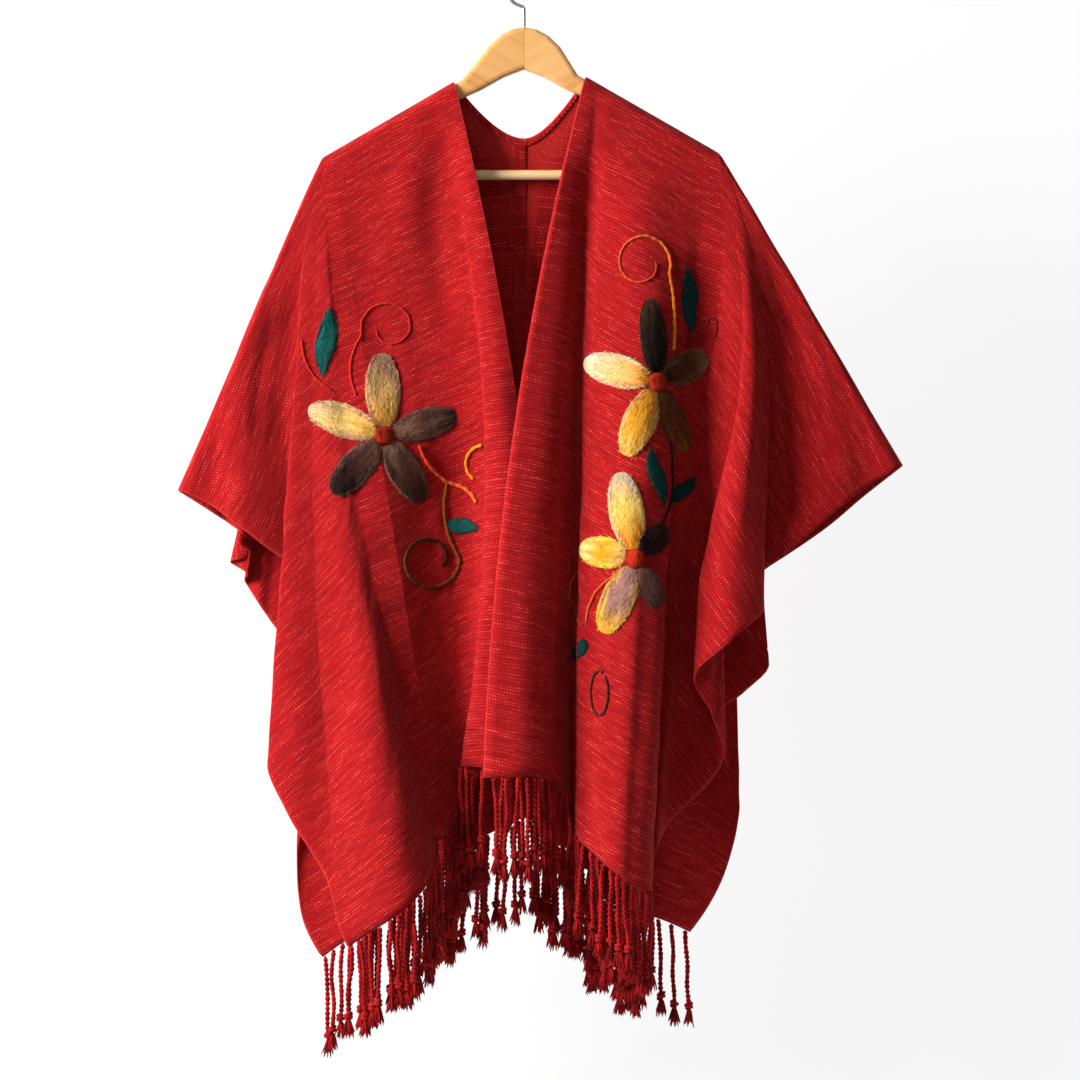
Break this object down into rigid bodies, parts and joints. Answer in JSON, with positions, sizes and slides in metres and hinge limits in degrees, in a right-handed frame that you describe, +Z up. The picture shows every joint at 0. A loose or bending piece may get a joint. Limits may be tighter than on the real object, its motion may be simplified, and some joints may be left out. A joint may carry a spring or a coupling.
{
  "type": "woven open-front poncho on a wooden hanger",
  "caption": "Red handwoven open-front poncho with knotted cord fringe and needle-felted flowers, hanging folded on a wooden bar hanger.",
  "frame": {"origin": "the inner crown of the hanger's hook, where it hangs from a rail", "axes": "+Z up, +X to the right as seen from the front, and the garment's front faces -Y"},
  "size_m": [0.7997, 0.2041, 1.2036],
  "materials": {
    "cloth": "coarse handwoven wool",
    "flower_felt": "needle-felted wool",
    "leaf_felt": "needle-felted wool",
    "hanger_wood": "clear lacquer",
    "bar_wood": "smooth",
    "hook_wire": "zinc plated"
  },
  "bodies": {
    "root": {"panel_left": "cloth", "panel_right": "cloth", "fringe_front_left": "cloth", "fringe_front_right": "cloth", "fringe_back_left": "cloth", "fringe_back_right": "cloth", "flower_left": "flower_felt", "flower_right_upper": "flower_felt", "flower_right_lower": "flower_felt", "leaf_left_upper": "leaf_felt", "leaf_left_lower": "leaf_felt", "leaf_right_upper": "leaf_felt", "leaf_right_middle": "leaf_felt", "leaf_right_side": "leaf_felt", "hanger_half_left": "hanger_wood", "hanger_half_right": "hanger_wood", "hanger_bar": "bar_wood", "hanger_hook": "hook_wire"}
  },
  "joints": []
}
